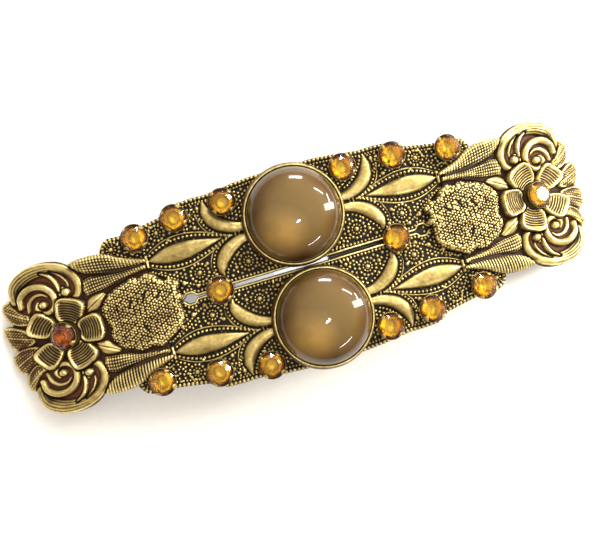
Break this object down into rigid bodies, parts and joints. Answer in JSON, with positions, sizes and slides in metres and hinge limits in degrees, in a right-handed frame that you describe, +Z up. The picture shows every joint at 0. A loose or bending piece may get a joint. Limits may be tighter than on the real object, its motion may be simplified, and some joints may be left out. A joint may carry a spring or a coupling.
{
  "type": "hair barrette",
  "caption": "Long arched filigree barrette: brass strips side by side with domed cabochons, pronged crystals and floral ends on a sprung French clip.",
  "frame": {"origin": "on the table under the middle of the barrette, which stands on the closed clip's feet", "axes": "+X along the barrette from the hinge end to the catch end, +Y across it, +Z up out of the decorated front"},
  "size_m": [0.1144, 0.0392, 0.0204],
  "materials": {
    "antique_brass": "antiqued stamped brass: dark oxide in the recesses, rubbed bright on the high relief",
    "caramel_glass": "polished, softly clouded caramel-brown dome",
    "amber_crystal": "faceted amber crystal with a foiled back",
    "nickel_steel": "nickel-plated spring steel, bright rolled finish"
  },
  "bodies": {
    "barrette": {"strip_upper": "antique_brass", "strip_lower": "antique_brass", "end_stamping_right": "antique_brass", "end_stamping_left": "antique_brass", "bezel_upper": "antique_brass", "bezel_lower": "antique_brass", "cup_upper_left_1": "antique_brass", "cup_upper_left_2": "antique_brass", "cup_upper_left_3": "antique_brass", "cup_upper_right_1": "antique_brass", "cup_upper_right_2": "antique_brass", "cup_upper_right_3": "antique_brass", "cup_lower_left_1": "antique_brass", "cup_lower_left_2": "antique_brass", "cup_lower_left_3": "antique_brass", "cup_lower_right_1": "antique_brass", "cup_lower_right_2": "antique_brass", "cup_lower_right_3": "antique_brass", "cup_middle_left": "antique_brass", "cup_middle_right": "antique_brass", "cup_flower_left": "antique_brass", "cup_flower_right": "antique_brass", "cabochon_upper": "caramel_glass", "cabochon_lower": "caramel_glass", "crystal_upper_left_1": "amber_crystal", "crystal_upper_left_2": "amber_crystal", "crystal_upper_left_3": "amber_crystal", "crystal_upper_right_1": "amber_crystal", "crystal_upper_right_2": "amber_crystal", "crystal_upper_right_3": "amber_crystal", "crystal_lower_left_1": "amber_crystal", "crystal_lower_left_2": "amber_crystal", "crystal_lower_left_3": "amber_crystal", "crystal_lower_right_1": "amber_crystal", "crystal_lower_right_2": "amber_crystal", "crystal_lower_right_3": "amber_crystal", "crystal_middle_left": "amber_crystal", "crystal_middle_right": "amber_crystal", "crystal_flower_left": "amber_crystal", "crystal_flower_right": "amber_crystal", "clip_base": "nickel_steel", "hinge_pin": "nickel_steel", "bow_rivet": "nickel_steel", "catch_plate": "nickel_steel", "catch_rivet": "nickel_steel"},
    "arm": {"clasp_arm": "nickel_steel"},
    "bow": {"tension_bow": "nickel_steel"},
    "wing_rear": {"catch_wing_rear": "nickel_steel"},
    "wing_front": {"catch_wing_front": "nickel_steel"}
  },
  "joints": [
    {"name": "arm_hinge", "type": "hinge", "parent": "barrette", "child": "arm", "pos_m": [-0.0365, 0, 0.0016], "axis": [0, 1, 0], "range_deg": [0, 75]},
    {"name": "bow_flex", "type": "hinge", "parent": "barrette", "child": "bow", "pos_m": [-0.032, 0, 0.00772], "axis": [0, -1, 0], "range_deg": [0, 1.6], "stiffness_Nm_per_rad": 0.02},
    {"name": "wing_rear_squeeze", "type": "hinge", "parent": "barrette", "child": "wing_rear", "pos_m": [0.03555, 0.0021, 0.00585], "axis": [-1, 0, 0], "range_deg": [0, 8], "stiffness_Nm_per_rad": 0.01},
    {"name": "wing_front_squeeze", "type": "hinge", "parent": "barrette", "child": "wing_front", "pos_m": [0.03555, -0.0021, 0.00585], "axis": [1, 0, 0], "range_deg": [0, 8], "stiffness_Nm_per_rad": 0.01}
  ]
}
